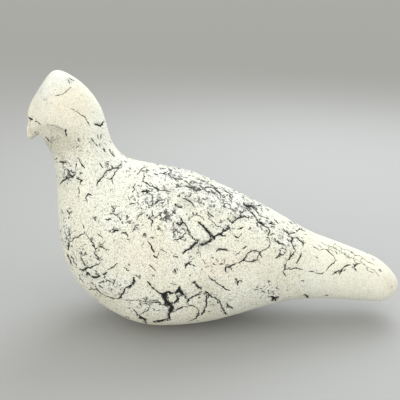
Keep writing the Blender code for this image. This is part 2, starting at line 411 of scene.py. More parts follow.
        "coal": (1.2, 294, 246, 295.3, 249),
        "twigA": (0.45, 274.5, 240, 277, 241.8, 279, 244, 282, 243.6, 285, 245),
        "twigB": (0.4, 285.5, 249, 287, 251),
        "twigC": (0.4, 280, 255, 278, 256.2, 276, 258),
        "notch": (1.3, 304, 295, 306, 296.3, 307.5, 298),
        "notchB": (1.3, 271, 297, 274, 299, 276, 301),
        "notchC": (1.2, 273, 300.5, 276.5, 298),
        "notchD": (0.5, 262, 291, 265, 292.5),
    },
    "tail": {
        "bow": (0.38, 326.5, 270.5, 330, 266, 334, 263, 336, 260, 334, 256.5, 330, 252.5,
                      326.5, 249.5, 322, 249, 319, 249.7),
        "bowStart": (0.5, 318.5, 249.3, 314, 247),
        "dashA": (0.4, 309, 272, 311, 271.4, 313.5, 271.8),
        "dashB": (0.33, 316, 273.5, 320, 273.6, 324, 272.6),
        "fork": (0.65, 333, 274.5, 337, 271.5, 341, 271, 344, 267.5, 347, 265.8, 350, 265),
        "forkB": (0.5, 340, 273.6, 341.5, 271),
        "zed": (0.6, 353.5, 264.3, 356.5, 264.5, 354.3, 267, 356, 270.5),
        "netLong": (0.16, 321, 241.5, 327, 245, 333, 247, 339, 251, 346, 253.5, 352, 258, 359, 260.5),
        "netEnd": (0.14, 359, 260.5, 366, 266, 373, 269.5, 379, 276),
        "netHigh": (0.13, 336, 244.5, 342, 248.5, 349, 250, 355, 254.5, 362, 257, 368, 262,
                          374, 264.5),
        "netA": (0.16, 327, 245, 329, 249.5, 334, 251.5),
        "netB": (0.14, 342, 248.5, 341, 252, 346, 257, 350, 259),
        "netC": (0.14, 352, 258, 355, 262.5, 360, 264),
        "netD": (0.14, 362, 257, 361, 261, 366, 266),
        "netE": (0.12, 366, 266, 368, 270.5, 373, 273),
        "netF": (0.12, 355, 254.5, 353, 258.5),
        "netG": (0.14, 333, 247, 335, 243.5),
        "spotA": (0.6, 380, 270.3, 381.3, 270.6),
        "spotB": (0.6, 302, 281, 303.3, 281.2),
        "spotC": (0.5, 326, 295.6, 327.2, 295.8),
        "spotD": (0.4, 316.5, 257, 317.5, 257.5),
    },
    "breast": {
        "edgeA": (1.0, 67.5, 240, 68.2, 244, 67.5, 249.5),
        "edgeB": (0.8, 68, 255, 69.5, 260, 71.3, 264.7),
        "edgeC": (0.6, 71.5, 258, 73, 259.5),
        "edgeD": (0.5, 68, 242, 72, 240, 76, 236.8, 79, 236),
        "edgeE": (0.5, 61, 210, 63, 214),
        "edgeF": (0.5, 66.5, 210, 69, 213.5, 71.5, 211.3),
        "edgeG": (0.6, 75, 237.5, 79, 236.5, 82, 234.5, 84.5, 232),
        "edgeH": (0.4, 83, 225, 84, 228),
        "webA": (0.5, 86.5, 235, 90, 240, 93, 243.5, 95, 248.5),
        "webB": (0.7, 92.5, 246, 95, 249.5, 97.5, 248, 100, 246.8),
        "webC": (0.45, 100, 246.8, 104, 248.4, 108, 250),
        "webD": (0.55, 95, 249.5, 94.4, 253.5, 97, 256.5, 101, 259.5),
        "webE": (0.4, 99.5, 243, 100.5, 246.8, 104, 242.5),
        "starA": (0.5, 80.5, 257, 83, 263, 86.5, 268),
        "starB": (0.8, 86.5, 268.3, 90, 268, 93, 266.5),
        "starC": (0.4, 93, 266.5, 96, 265, 100, 263),
        "starD": (0.9, 79.5, 270, 83, 271, 86.5, 269),
        "starE": (0.7, 86, 275, 87.5, 273.2, 89.5, 275.2),
        "coal": (1.05, 92.5, 277, 95, 278, 97.5, 277.3, 99.5, 276),
        "coalB": (0.8, 103.5, 274.6, 106.5, 273),
        "coalC": (0.6, 105.5, 282, 107.5, 280.8, 109.5, 281.5),
        "hook": (0.6, 91.5, 283, 94.5, 286.5, 98, 291),
        "hookB": (0.55, 89, 290, 93, 289.5, 97.8, 291.8),
        "edgeI": (0.5, 80, 279, 83, 282.7),
        "seamLeft": (0.4, 99, 292, 105, 295.6, 110, 298, 116, 298.8, 119.5, 299),
        "seamRight": (0.3, 121, 299, 129, 300.3, 135, 300.3, 143, 301.6, 150, 302, 156, 303),
        "boltLow": (0.95, 119.5, 299, 121, 296, 123.5, 292, 126, 288.5, 129, 287),
        "boltHigh": (1.25, 129, 287, 131.5, 285.8, 133.8, 283.5, 133.8, 278),
        "boltKnot": (1.8, 132.6, 284.0, 134.0, 281.8),
        "boltSpot": (0.7, 136.6, 276, 137.6, 277),
        "scratchA": (0.35, 112, 268, 117, 263.5),
        "scratchB": (0.35, 108, 270, 112, 267.5),
        "lowA": (0.5, 133.5, 309.5, 135, 312, 137, 314.5),
        "lowB": (1.2, 137, 314.5, 141, 318, 144, 320.3),
        "lowC": (1.4, 142, 319, 146, 323.5),
        "lowD": (0.55, 139.5, 315, 144, 312.6, 147.5, 311, 149.5, 307.5),
        "lowSpot": (0.7, 127, 317.3, 128, 318),
    },
    "belly": {
        "vein": (0.6, 147, 281.5, 149, 283.5, 151.5, 286.8),
        "veinLow": (0.95, 151.5, 286.8, 154, 290, 158, 293, 163, 295.5),
        "trunkA": (2.9, 163.8, 294.8, 165, 297.2, 165.6, 299.6),
        "trunkB": (3.3, 167.5, 302.8, 169.5, 304.8, 171, 307),
        "trunkC": (2.9, 171.2, 306.5, 171.6, 309.5, 170.6, 312.6),
        "trunkD": (1.35, 170.4, 313, 168.7, 317, 168.8, 320),
        "rimA": (1.1, 165, 293.4, 168.5, 292, 171.5, 293.2),
        "rimB": (0.9, 171, 294.3, 174, 293.3, 177.5, 292.8),
        "darkWedge": (3.3, 179.3, 291.2, 181, 292.5, 182.5, 294.2),
        "darkWedgeTip": (1.1, 179.6, 287.5, 180.1, 290.5),
        "darkWedgeTail": (1.0, 183, 294, 185, 296.5, 186, 298.3),
        "rimC": (0.85, 176, 295, 176.8, 297.2, 178.8, 299.3, 176, 302.2, 174, 303.5),
        "ribA": (0.6, 157, 302.5, 160, 303),
        "ribB": (0.6, 160.5, 305, 164, 305.6, 167.5, 307.2),
        "ribC": (0.3, 150, 300, 154, 301, 158, 300),
        "pebble": (0.5, 174.5, 312, 178, 309.5, 183, 307.2, 188.5, 306.3, 194, 306.7, 197.5, 308.7),
        "pebbleEnd": (0.6, 197.5, 308.7, 199, 311.5, 199, 315, 196, 318.5),
        "pebbleLow": (0.4, 196, 318.5, 193, 320.2, 190, 321.5),
        "spur": (0.8, 188.2, 304.3, 187.8, 301.5, 190, 299, 194, 296.6),
        "spurTip": (0.5, 194, 296.6, 198, 295, 201, 294),
        "stemLeft": (0.95, 205.5, 291.5, 206.5, 295, 206.8, 299, 206.9, 304),
        "stemLow": (1.05, 206.9, 304, 206.3, 307.5, 204.3, 312, 201.8, 315),
        "stemRight": (1.1, 206, 292, 209, 294.8, 212, 297.3),
        "stemRightLow": (0.8, 212, 297.3, 216.5, 299, 219.4, 301.5, 221, 305, 222.6, 308.6,
                              224.5, 312),
        "stemEnd": (1.2, 224.6, 312.8, 225.6, 314.6),
        "strokeA": (0.5, 208.5, 276.5, 211.5, 279.8, 215.5, 281.6),
        "strokeB": (0.65, 215.5, 281.6, 220, 285.5, 225, 288.6, 229.2, 290.4),
        "strokeC": (0.7, 195, 281.5, 193.2, 282.8, 196, 285.5),
        "strokeD": (1.2, 196, 285.5, 198, 287.3, 200.5, 288.7),
        "sideA": (0.75, 235.5, 279, 237.6, 281.2, 237.5, 285),
        "sideAArm": (0.5, 237.6, 281.4, 240, 280.6, 241.6, 281.4),
        "sideB": (1.0, 226.5, 304, 228.5, 307.3, 232, 308.5),
        "sideC": (0.3, 226.5, 304, 228, 301.5, 231, 299.5),
        "hemA": (1.2, 155, 322.6, 158, 321.8, 163, 320.6),
        "hemB": (0.9, 163, 320.6, 166.5, 320.9, 169, 320),
    },
}

crackDrawing = {
    "firstSeed": 8,
    "pushes": (0.12, 0.11, 0.10),  # sideways, as shares of a stretch, one at each halving
    "leastFacing": 0.02,  # from here on a point of the form counts as seen
    "width": 0.88,  # share of the half widths above
    "slant": (0.4, 1.2),  # limits of the thinning on a slanting face
    "ends": 0.45,  # share of the width at both ends
    "fullSoon": 2.2,  # how soon the width is full
    "reach": 0.004,  # metres over which a crack is looked for
    "farHalf": 0.0002,  # half width noted where there is none
}


def roughen(course, seed):
    # halves each stretch three times and pushes the new middles sideways
    rng = np.random.default_rng(seed)
    line = np.array(course, dtype=float).reshape(-1, 2)
    for push in crackDrawing["pushes"]:
        step = np.diff(line, axis=0)
        middle = (line[1:] + line[:-1]) / 2.0
        side = np.stack((-step[:, 1], step[:, 0]), axis=1)
        middle += side * rng.uniform(-push, push, (len(step), 1))
        longer = np.empty((len(line) + len(middle), 2))
        longer[0::2] = line
        longer[1::2] = middle
        line = longer
    return line


def pixelToSurface(pixels):
    # nearest grid point that faces the camera, then one linear step along the surface
    rows, columns = np.nonzero(facing > crackDrawing["leastFacing"])
    spots = gridPixels[rows, columns]
    nearest = np.array([np.argmin(((spots - p) ** 2).sum(axis=1)) for p in pixels])
    row, column = rows[nearest], columns[nearest]
    start = smoothGrid[row, column]
    a, b = alongRows[row, column], roundColumns[row, column]
    pa = toPhoto(start + a * 0.5) - toPhoto(start - a * 0.5)
    pb = toPhoto(start + b * 0.5) - toPhoto(start - b * 0.5)
    gap = pixels - toPhoto(start)
    det = pa[:, 0] * pb[:, 1] - pa[:, 1] * pb[:, 0]
    det = np.where(np.abs(det) < almostZero, almostZero, det)
    u = np.clip((gap[:, 0] * pb[:, 1] - gap[:, 1] * pb[:, 0]) / det, -1.0, 1.0)
    v = np.clip((gap[:, 1] * pa[:, 0] - gap[:, 0] * pa[:, 1]) / det, -1.0, 1.0)
    return start + a * u[:, None] + b * v[:, None], smoothNormal[row, column]


def taper(count, ends):
    # full in the middle, thinner at both ends
    t = np.linspace(0.0, 1.0, count)
    full = np.clip(np.sin(t * math.pi) * crackDrawing["fullSoon"], 0.0, 1.0)
    return ends + (1.0 - ends) * full


def shownSegments():
    # start, end and half width of every short stretch, on the surface
    starts, ends, halves = [], [], []
    courses = [crack for region in shownCracks.values() for crack in region.values()]
    for seed, (half, *course) in enumerate(courses, crackDrawing["firstSeed"]):
        line, outward = pixelToSurface(roughen(course, seed))
        across = np.cross(outward[1:], line[1:] - line[:-1])
        across /= np.maximum(np.linalg.norm(across, axis=1, keepdims=True), almostZero)
        middle = (line[1:] + line[:-1]) / 2.0
        # a slanting face shows a crack thinner than it is
        seen = np.linalg.norm(toPhoto(middle + across * pixelSize) - toPhoto(middle), axis=1)
        width = taper(len(line), crackDrawing["ends"]) * half * pixelSize * crackDrawing["width"]
        starts.append(line[:-1])
        ends.append(line[1:])
        halves.append((width[:-1] + width[1:]) / 2.0 / np.clip(seen, *crackDrawing["slant"]))
    return np.concatenate(starts), np.concatenate(ends), np.concatenate(halves)


# cracks on the sides that the photograph doesn't show
hiddenCracks = {
    "seed": 41,
    "count": 130,
    "step": 0.0011,
    "steps": (5, 26),
    "fewest": 4,  # steps; a shorter crack is dropped
    "half": (0.00018, 0.00050),
    "ends": 0.35,
    "turn": 0.50,  # radians of wander in a step
    "hold": 0.8,  # share of the wander that is left after the next step
    "drift": 0.08,  # radians that the course turns in a step
    "branch": 0.45,  # share that starts on an older crack
    "facing": -0.05,  # they start where the form faces this far away
    "tailClear": 12,  # rows at the tail's tip that stay sound
    "headStarts": 100,  # rows of the head where none starts
    "headClear": 90,  # rows of the head that stay sound
}


def walkCrack(rng, row, column, trail):
    # each step turns a little and moves along the surface's own tangents
    rowCount, columnCount = facing.shape
    course = rng.uniform(0.0, 2.0 * math.pi)
    half = rng.uniform(*hiddenCracks["half"])
    wander = 0.0
    path = []
    for _ in range(rng.integers(*hiddenCracks["steps"])):
        i = int(np.clip(round(row), 0, rowCount - 1))
        j = int(round(column)) % columnCount
        sound = i < hiddenCracks["tailClear"] or i > rowCount - hiddenCracks["headClear"]
        if sound or facing[i, j] > 0.0:
            break
        a, b = alongRows[i, j], roundColumns[i, j]
        path.append(smoothGrid[i, j] + a * (row - i) + b * (column - round(column)))
        trail.append((row, column))
        wander = hiddenCracks["hold"] * wander + rng.normal(0.0, hiddenCracks["turn"])
        course += rng.normal(0.0, hiddenCracks["drift"])
        heading = course + wander
        row += hiddenCracks["step"] * math.cos(heading) / max(np.linalg.norm(a), almostZero)
        column += hiddenCracks["step"] * math.sin(heading) / max(np.linalg.norm(b), almostZero)
    return np.array(path), half


def hiddenSegments():
    # walkers that start anywhere on the hidden sides, or on the trail of an older one
    rng = np.random.default_rng(hiddenCracks["seed"])
    hidden = facing < hiddenCracks["facing"]
    hidden[:birdForm["tailRows"]] = False
    hidden[-hiddenCracks["headStarts"]:] = False
    rows, columns = np.nonzero(hidden)
    area = np.linalg.norm(np.cross(alongRows, roundColumns), axis=-1)[rows, columns]
    starts, ends, halves, trail = [], [], [], []
    for _ in range(hiddenCracks["count"]):
        if trail and rng.random() < hiddenCracks["branch"]:
            row, column = trail[rng.integers(len(trail))]
        else:
            pick = rng.choice(len(rows), p=area / area.sum())
            row, column = float(rows[pick]), float(columns[pick])
        path, half = walkCrack(rng, row, column, trail)
        if len(path) < hiddenCracks["fewest"]:
            continue
        width = taper(len(path), hiddenCracks["ends"]) * half
        starts.append(path[:-1])
        ends.append(path[1:])
        halves.append((width[:-1] + width[1:]) / 2.0)
    return np.concatenate(starts), np.concatenate(ends), np.concatenate(halves)


def crackFields(points, normals):
    # for each point the nearest crack: plain distance, signed offset across it, its half width
    segments = zip(shownSegments(), hiddenSegments())
    starts, ends, halves = (np.concatenate(pair) for pair in segments)
    reach = crackDrawing["reach"]
    near, side, score = np.full((3, len(points)), reach)
    half = np.full(len(points), crackDrawing["farHalf"])
    order = np.argsort(points[:, 0])
    xs = points[order, 0]
    for a, b, h in zip(starts, ends, halves):
        low = np.searchsorted(xs, min(a[0], b[0]) - reach)
        high = np.searchsorted(xs, max(a[0], b[0]) + reach)
        some = order[low:high]
        offset = np.abs(points[some, 1:] - (a + b)[1:] / 2.0)
        some = some[(offset < reach + np.abs(b - a)[1:] / 2.0).all(axis=1)]
        if not len(some):
            continue
        p = points[some] - a
        length = max(np.linalg.norm(b - a), almostZero)
        along = (b - a) / length
        t = np.clip(p @ along, 0.0, length)
        distance = np.linalg.norm(p - t[:, None] * along, axis=1)
        better = distance - h < score[some]
        some, p, distance = some[better], p[better], distance[better]
        across = np.cross(normals[some], along)
        score[some] = distance - h
        near[some] = distance
        side[some] = (p * across).sum(axis=1)
        half[some] = h
    print("cracks laid on the form,", len(starts), "short stretches")
    return near, side, half


# where the coat is crazed, warm, painted with cool top light, tan with dirt and painted shade, or
# smudged with dust and painted shade: centre and radii in pixels, strength
coatPatches = {
    "crazed": {
        "upperBack": (220, 197, 37, 21, 0.90),
        "backFold": (196, 188, 26, 15, 0.86),
        "mantle": (172, 173, 36, 11, 0.9),
        "mantleFront": (154, 198, 24, 26, 0.84),
        "mantleLow": (172, 216, 16, 24, 0.80),
        "leftOfFork": (176, 232, 10, 10, 1.0),
        "shoulderDots": (122, 218, 34, 20, 0.55),
        "shoulderLow": (146, 232, 16, 22, 0.48),
        "breastEdge": (66, 232, 8, 24, 0.9),
        "breastLow": (86, 258, 26, 24, 0.54),
        "breastFoot": (112, 284, 22, 13, 0.72),
        "neckFoot": (68, 172, 16, 14, 0.80),
        "backRear": (248, 208, 24, 13, 0.95),
        "rightOfFork": (226, 228, 16, 12, 0.66),
        "crest": (262, 224, 14, 12, 0.7),
        "flankMiddle": (206, 262, 50, 14, 0.28),
        "rump": (286, 240, 20, 18, 0.72),
        "rumpRidge": (300, 224, 22, 8, 0.70),
        "tailRidge": (344, 249, 30, 8, 0.38),
        "tailRidgeEnd": (374, 262, 14, 10, 0.28),
        "tailFoot": (268, 290, 14, 10, 0.6),
        "nape": (106, 146, 11, 14, 0.46),
        "collar": (120, 164, 18, 9, 0.6),
        "belly": (205, 296, 30, 14, 0.45),
        "bellyLeft": (150, 304, 26, 14, 0.5),
        "forehead": (42, 98, 14, 14, 0.20),
        "throat": (52, 140, 8, 10, 0.6),
        "neckSide": (88, 142, 22, 18, 0.26),
    },
    "warm": {
        "flank": (225, 265, 26, 12, 0.8),
        "flankLeft": (155, 256, 24, 16, 0.6),
        "cheek": (70, 106, 22, 17, 0.95),
        "tailEnd": (388, 286, 12, 12, 0.7),
        "beak": (29, 131, 5, 7, 0.8),
        "pebble": (186, 315, 12, 6, 0.6),
    },
    # painted light: the cool tint of the top lamps on the crown, forehead and nape
    "paintedCoolLight": {
        "crown": (60, 73, 20, 12, 0.95),
        "forehead": (43, 90, 9, 16, 0.85),
        "nape": (104, 118, 8, 20, 0.6),
    },
    # tan dirt and painted shade: mostly the painted shadow under the jaw and down the throat
    "tanAndShade": {
        "throat": (60, 142, 24, 15, 0.95),
        "jaw": (56, 131, 17, 6, 0.7),
        "breastFoot": (104, 296, 26, 10, 0.3),
    },
    # grey dust, and painted shade under the jaw, down the throat, round the collar and beside the
    # fork's cross
    "smudgeAndShade": {
        "backMiddle": (216, 212, 9, 7, 0.45),
        "mantleA": (194, 187, 8, 4.5, 1.0),
        "mantleB": (188, 201, 9, 7, 0.9),
        "mantleC": (214, 189, 12, 7, 0.25),
        "mantleD": (170, 190, 5, 5, 0.8),
        "backTop": (225, 185, 16, 8, 0.2),
        "crown": (71, 80.5, 5, 2.5, 0.6),
        "leftLimb": (179, 224, 5, 4, 0.7),
        # painted shade along the fork's cross
        "forkShade": (204, 245, 12, 5, 0.8),
        "forkFoot": (195, 252, 7, 4, 0.5),
        "belly": (206, 287, 10, 8, 0.45),
        "bellyLow": (213, 303, 9, 9, 0.45),
        # painted shade under the jaw, down the throat and round the collar
        "throat": (52, 146, 9, 15, 0.62),
        "jaw": (52, 131, 15, 5, 0.30),
        "neckFront": (58, 150, 10, 12, 0.50),
        "collar": (66, 175, 13, 12, 0.45),
        "forehead": (40, 106, 9, 16, 0.2),
        "backRear": (238, 217, 11, 4, 1.0),
        "hollow": (250, 206, 7, 4, 0.7),
        "coal": (96, 277, 7, 4, 0.5),
    },
}

coatFade = {
    "farSmudgeAndShade": (-0.008, 0.012, 0.65),  # metres across the bird, and the share that goes
    "sandyTail": (285.0, 335.0, 0.5),  # pixels along the bird, and the share that goes
    "sandyHead": (112.0, 150.0, 0.5),  # pixels down the photograph, and the share at the top
}


def patchField(spots, patches):
    # the strongest of soft bells exp(-(distance in radii)^2)
    field = np.zeros(len(spots))
    for x, y, rx, ry, strength in patches.values():
        bell = strength * np.exp(-((spots[:, 0] - x) / rx) ** 2 - ((spots[:, 1] - y) / ry) ** 2)
        field = np.maximum(field, bell)
    return field


def smoothStep(value, low, high):
    t = np.clip((value - low) / (high - low), 0.0, 1.0)
    return t * t * (3.0 - 2.0 * t)


def coatFields(points, spots):
    # every family of patches, the same on both sides but for the smudges and painted shade, and how
    # sandy the coat is
    fields = {name: patchField(spots, patches) for name, patches in coatPatches.items()}
    low, high, share = coatFade["farSmudgeAndShade"]
    fields["smudgeAndShade"] *= 1.0 - share * smoothStep(points[:, 1], low, high)
    low, high, share = coatFade["sandyTail"]
    sandy = 1.0 - share * smoothStep(spots[:, 0], low, high)
    low, high, share = coatFade["sandyHead"]
    fields["sandy"] = sandy * (share + (1.0 - share) * smoothStep(spots[:, 1], low, high))
    return fields


def waves(points, size, seed, count=28, spread=(0.7, 1.5), calm=1.6):
    # a smooth noise about -1 to 1: a sum of sine waves of about that size in random directions
    rng = np.random.default_rng(seed)
    total = np.zeros(len(points))
    for _ in range(count):
        direction = rng.normal(size=3)
        direction /= np.linalg.norm(direction)
        rate = 2.0 * math.pi / (size * rng.uniform(*spread))
        total += np.sin(points @ direction * rate + rng.uniform(0.0, 2.0 * math.pi))
    return total / math.sqrt(count / 2.0) / calm


# the cheek turns under to the throat along this line, in pixels
jawLine = {
    "x": (33.0, 39.0, 45.0, 51.0, 59.0, 64.0, 67.0, 71.0),
    "y": (122.0, 124.0, 124.2, 124.6, 127.0, 130.5, 134.5, 141.0),
    "depth": 0.0014,
    "turn": (-1.5, 7.0),  # pixels below the line over which the cheek turns under
    "fade": (7.0, 24.0),  # and over which the hollow ends
    "front": (34.0, 42.0),
    "rear": (63.0, 78.0),
    "foot": (150.0, 165.0),
    "outline": (0.1, 0.6),  # how squarely the surface faces the side
}


def throatHollow(spots, normals):
    # depth * a soft step below the line * fades down the throat, at both ends and at the outline
    below = spots[:, 1] - np.interp(spots[:, 0], jawLine["x"], jawLine["y"])
    step = smoothStep(below, *jawLine["turn"])
    fade = 1.0 - smoothStep(below, *jawLine["fade"])
    ends = smoothStep(spots[:, 0], *jawLine["front"])
    ends *= 1.0 - smoothStep(spots[:, 0], *jawLine["rear"])
    inFace = 1.0 - smoothStep(spots[:, 1], *jawLine["foot"])
    sideways = smoothStep(np.abs(normals[:, 1]), *jawLine["outline"])
    return jawLine["depth"] * step * fade * ends * inFace * sideways


birdRelief = {
    "lump": (0.00016, 0.016, 3),  # depth, size and seed of the coat's slow unevenness
    "grit": (0.00007, 0.0042, 5),
    "gritLeast": 0.4,  # share of the grit where nothing is crazed
    "groove": 0.9,  # crack depth as a share of its width
    "deepest": 0.0011,
    "lip": 0.0004,  # how far a groove runs out beside its crack
    "footFade": 0.0008,  # height over which the relief begins
}


def unevenness(points, depth, size, seed):
    return depth * (0.5 + 0.5 * np.clip(waves(points, size, seed), -1.0, 1.0))


def reliefDepth(points, normals, spots, near, half, crazed):
    # the relief only sinks, so the bird keeps inside its box
    lump = unevenness(points, *birdRelief["lump"])
    grit = unevenness(points, *birdRelief["grit"]) * (birdRelief["gritLeast"] + crazed)
    lip = birdRelief["lip"]
    groove = np.minimum(half * 2.0 * birdRelief["groove"], birdRelief["deepest"])
    groove *= np.clip(1.0 - (near / (half + lip)) ** 2, 0.0, 1.0) ** 2
    groove *= np.clip(half / lip, 0.0, 1.0)
    sink = lump + grit + groove + throatHollow(spots, normals)
    return sink * np.clip(points[:, 2] / birdRelief["footFade"], 0.0, 1.0)


def closedMesh(name, verts, rowCount, columnCount):
    # quads from row to row and, at each end, a fan to its pole; the poles are the last two points
    index = np.arange(rowCount * columnCount).reshape(rowCount, columnCount)
    following = np.roll(index, -1, axis=1)
    quads = np.stack((index[:-1], following[:-1], following[1:], index[1:]), axis=-1)
    tailPole, beakPole = np.full((2, columnCount), len(verts)) - [[2], [1]]
    tailFan = np.stack((tailPole, following[0], index[0]), axis=-1)
    beakFan = np.stack((beakPole, index[-1], following[-1]), axis=-1)
    faces = quads.reshape(-1, 4).tolist() + tailFan.tolist() + beakFan.tolist()
    mesh = bpy.data.meshes.new(name)
    mesh.from_pydata(verts, [], faces)
    mesh.shade_smooth()
    mesh.validate()
    return mesh


def makeBird():
    points = smoothGrid.reshape(-1, 3)
    normals = smoothNormal.reshape(-1, 3)
    near, side, half = crackFields(points, normals)
    # the far side takes the places of the near side
    mirrored = np.stack((points[:, 0], -np.abs(points[:, 1]), points[:, 2]), axis=1)
    spots = toPhoto(mirrored)
    fields = coatFields(points, spots)
    sink = reliefDepth(points, normals, spots, near, half, fields["crazed"])
    moved = points - normals * sink[:, None]
    moved[:, 2] = np.where(points[:, 2] <= 0.0, 0.0, np.maximum(moved[:, 2], 0.0))
    verts = np.clip(np.concatenate((moved, smoothPoles)), cadBox[0], cadBox[1])
    mesh = closedMesh("crackledDove", verts, *facing.shape)
    cracks = {"crackNear": near, "crackSide": side, "crackHalf": half}
    fields.update((name, field * 1000.0) for name, field in cracks.items())  # millimetres
    for name, field in fields.items():
        layer = mesh.attributes.new(name, "FLOAT", "POINT")
        withPoles = np.concatenate((field, field[[0, -1]]))
        layer.data.foreach_set("value", withPoles.astype(np.float32))
    print("bird meshed,", len(mesh.vertices), "points")
    return addToScene("crackledDove", mesh)


# helpers for shader nodes
def feed(tree, slot, value):
    # a plain number or colour is set on the socket, another node's output is linked to it
    if isinstance(value, (int, float, tuple)):
        slot.default_value = value
    else:
        tree.links.new(value, slot)


def addNode(tree, kind, inputs, **settings):
    # inputs by their name or number
    node = tree.nodes.new("ShaderNode" + kind)
    for key, value in settings.items():
        setattr(node, key, value)
    for key, value in inputs.items():
        feed(tree, node.inputs[key], value)
    return node


def arithmetic(operation):
    # gives a maker of Math nodes of that kind
    def maker(tree, *values):
        return addNode(tree, "Math", dict(enumerate(values)), operation=operation).outputs[0]
    return maker


plus, minus, times = arithmetic("ADD"), arithmetic("SUBTRACT"), arithmetic("MULTIPLY")
larger, isLess, sizeOf = arithmetic("MAXIMUM"), arithmetic("LESS_THAN"), arithmetic("ABSOLUTE")


def vectorSum(tree, operation, inputs):
    return addNode(tree, "VectorMath", inputs, operation=operation).outputs[0]


def ramp(tree, value, low, high, toLow, toHigh, kind="SMOOTHSTEP"):
    inputs = {"Value": value, "From Min": low, "From Max": high, "To Min": toLow, "To Max": toHigh}
    return addNode(tree, "MapRange", inputs, interpolation_type=kind).outputs["Result"]


def mixColours(tree, factor, first, second, blend="MIX"):
    # sockets 0, 6 and 7 of a Mix node are its factor and its two colours, output 2 the mix
    inputs = {0: factor, 6: first, 7: second}
    return addNode(tree, "Mix", inputs, data_type="RGBA", blend_type=blend).outputs[2]


def greyColour(tree, value):
    return addNode(tree, "CombineColor", {0: value, 1: value, 2: value}).outputs[0]


def redOf(tree, colour):
    return addNode(tree, "SeparateColor", {0: colour}).outputs[0]


def noise(tree, vector, scale, detail, roughness, offset):
    # scale in cycles per metre; the offset shifts it so that two noises differ
    if offset:
        vector = vectorSum(tree, "ADD", {0: vector, 1: (offset, offset * 0.7, -offset * 1.3)})
    inputs = {"Vector": vector, "Scale": scale, "Detail": detail, "Roughness": roughness}
    return addNode(tree, "TexNoise", inputs).outputs["Fac"]


# broken net of crazing: the borders of warped cells, kept only where a second noise is high
crazeNet = {
    "inputs": {"Vector": "Vector", "Cells": "Float", "Width": "Float",
               "Warp": "Float", "Density": "Float", "Pieces": "Float"},
    "wobble": {"Scale": 420.0, "Detail": 3.0, "Roughness": 0.6},
    "middle": (0.5, 0.5, 0.5),
    "pieces": (2.0, 0.5),  # detail and roughness of the second noise
    "limit": (0.0, 1.0, 0.69, 0.47),  # density against the noise's limit
    "kept": (-0.005, 0.035, 0.0, 1.0),
    "width": (0.45, 0.7),  # share of the width at the pieces' ends, and what is added
    "core": 0.45,  # share of the width that is quite dark
}


def makeCrazeGroup():
    tree = bpy.data.node_groups.new("crazeNet", "ShaderNodeTree")
    for name, kind in crazeNet["inputs"].items():
        tree.interface.new_socket(name=name, in_out="INPUT", socket_type="NodeSocket" + kind)
    tree.interface.new_socket(name="Mask", in_out="OUTPUT", socket_type="NodeSocketFloat")
    entry = tree.nodes.new("NodeGroupInput").outputs
    leave = tree.nodes.new("NodeGroupOutput")
    place = entry["Vector"]
    wobble = addNode(tree, "TexNoise", {"Vector": place, **crazeNet["wobble"]}).outputs["Color"]
    shift = vectorSum(tree, "SUBTRACT", {0: wobble, 1: crazeNet["middle"]})
    shift = vectorSum(tree, "SCALE", {0: shift, "Scale": entry["Warp"]})
    inputs = {"Vector": vectorSum(tree, "ADD", {0: place, 1: shift}), "Scale": entry["Cells"]}
    cells = addNode(tree, "TexVoronoi", inputs, feature="DISTANCE_TO_EDGE")
    pieces = noise(tree, place, entry["Pieces"], *crazeNet["pieces"], 0.0)
    limit = ramp(tree, entry["Density"], *crazeNet["limit"], kind="LINEAR")
    kept = ramp(tree, minus(tree, pieces, limit), *crazeNet["kept"])
    least, more = crazeNet["width"]
    width = times(tree, entry["Width"], plus(tree, least, times(tree, kept, more)))
    core = times(tree, width, crazeNet["core"])
    line = ramp(tree, cells.outputs["Distance"], core, width, 1.0, 0.0)
    tree.links.new(times(tree, line, kept), leave.inputs["Mask"])
    return tree


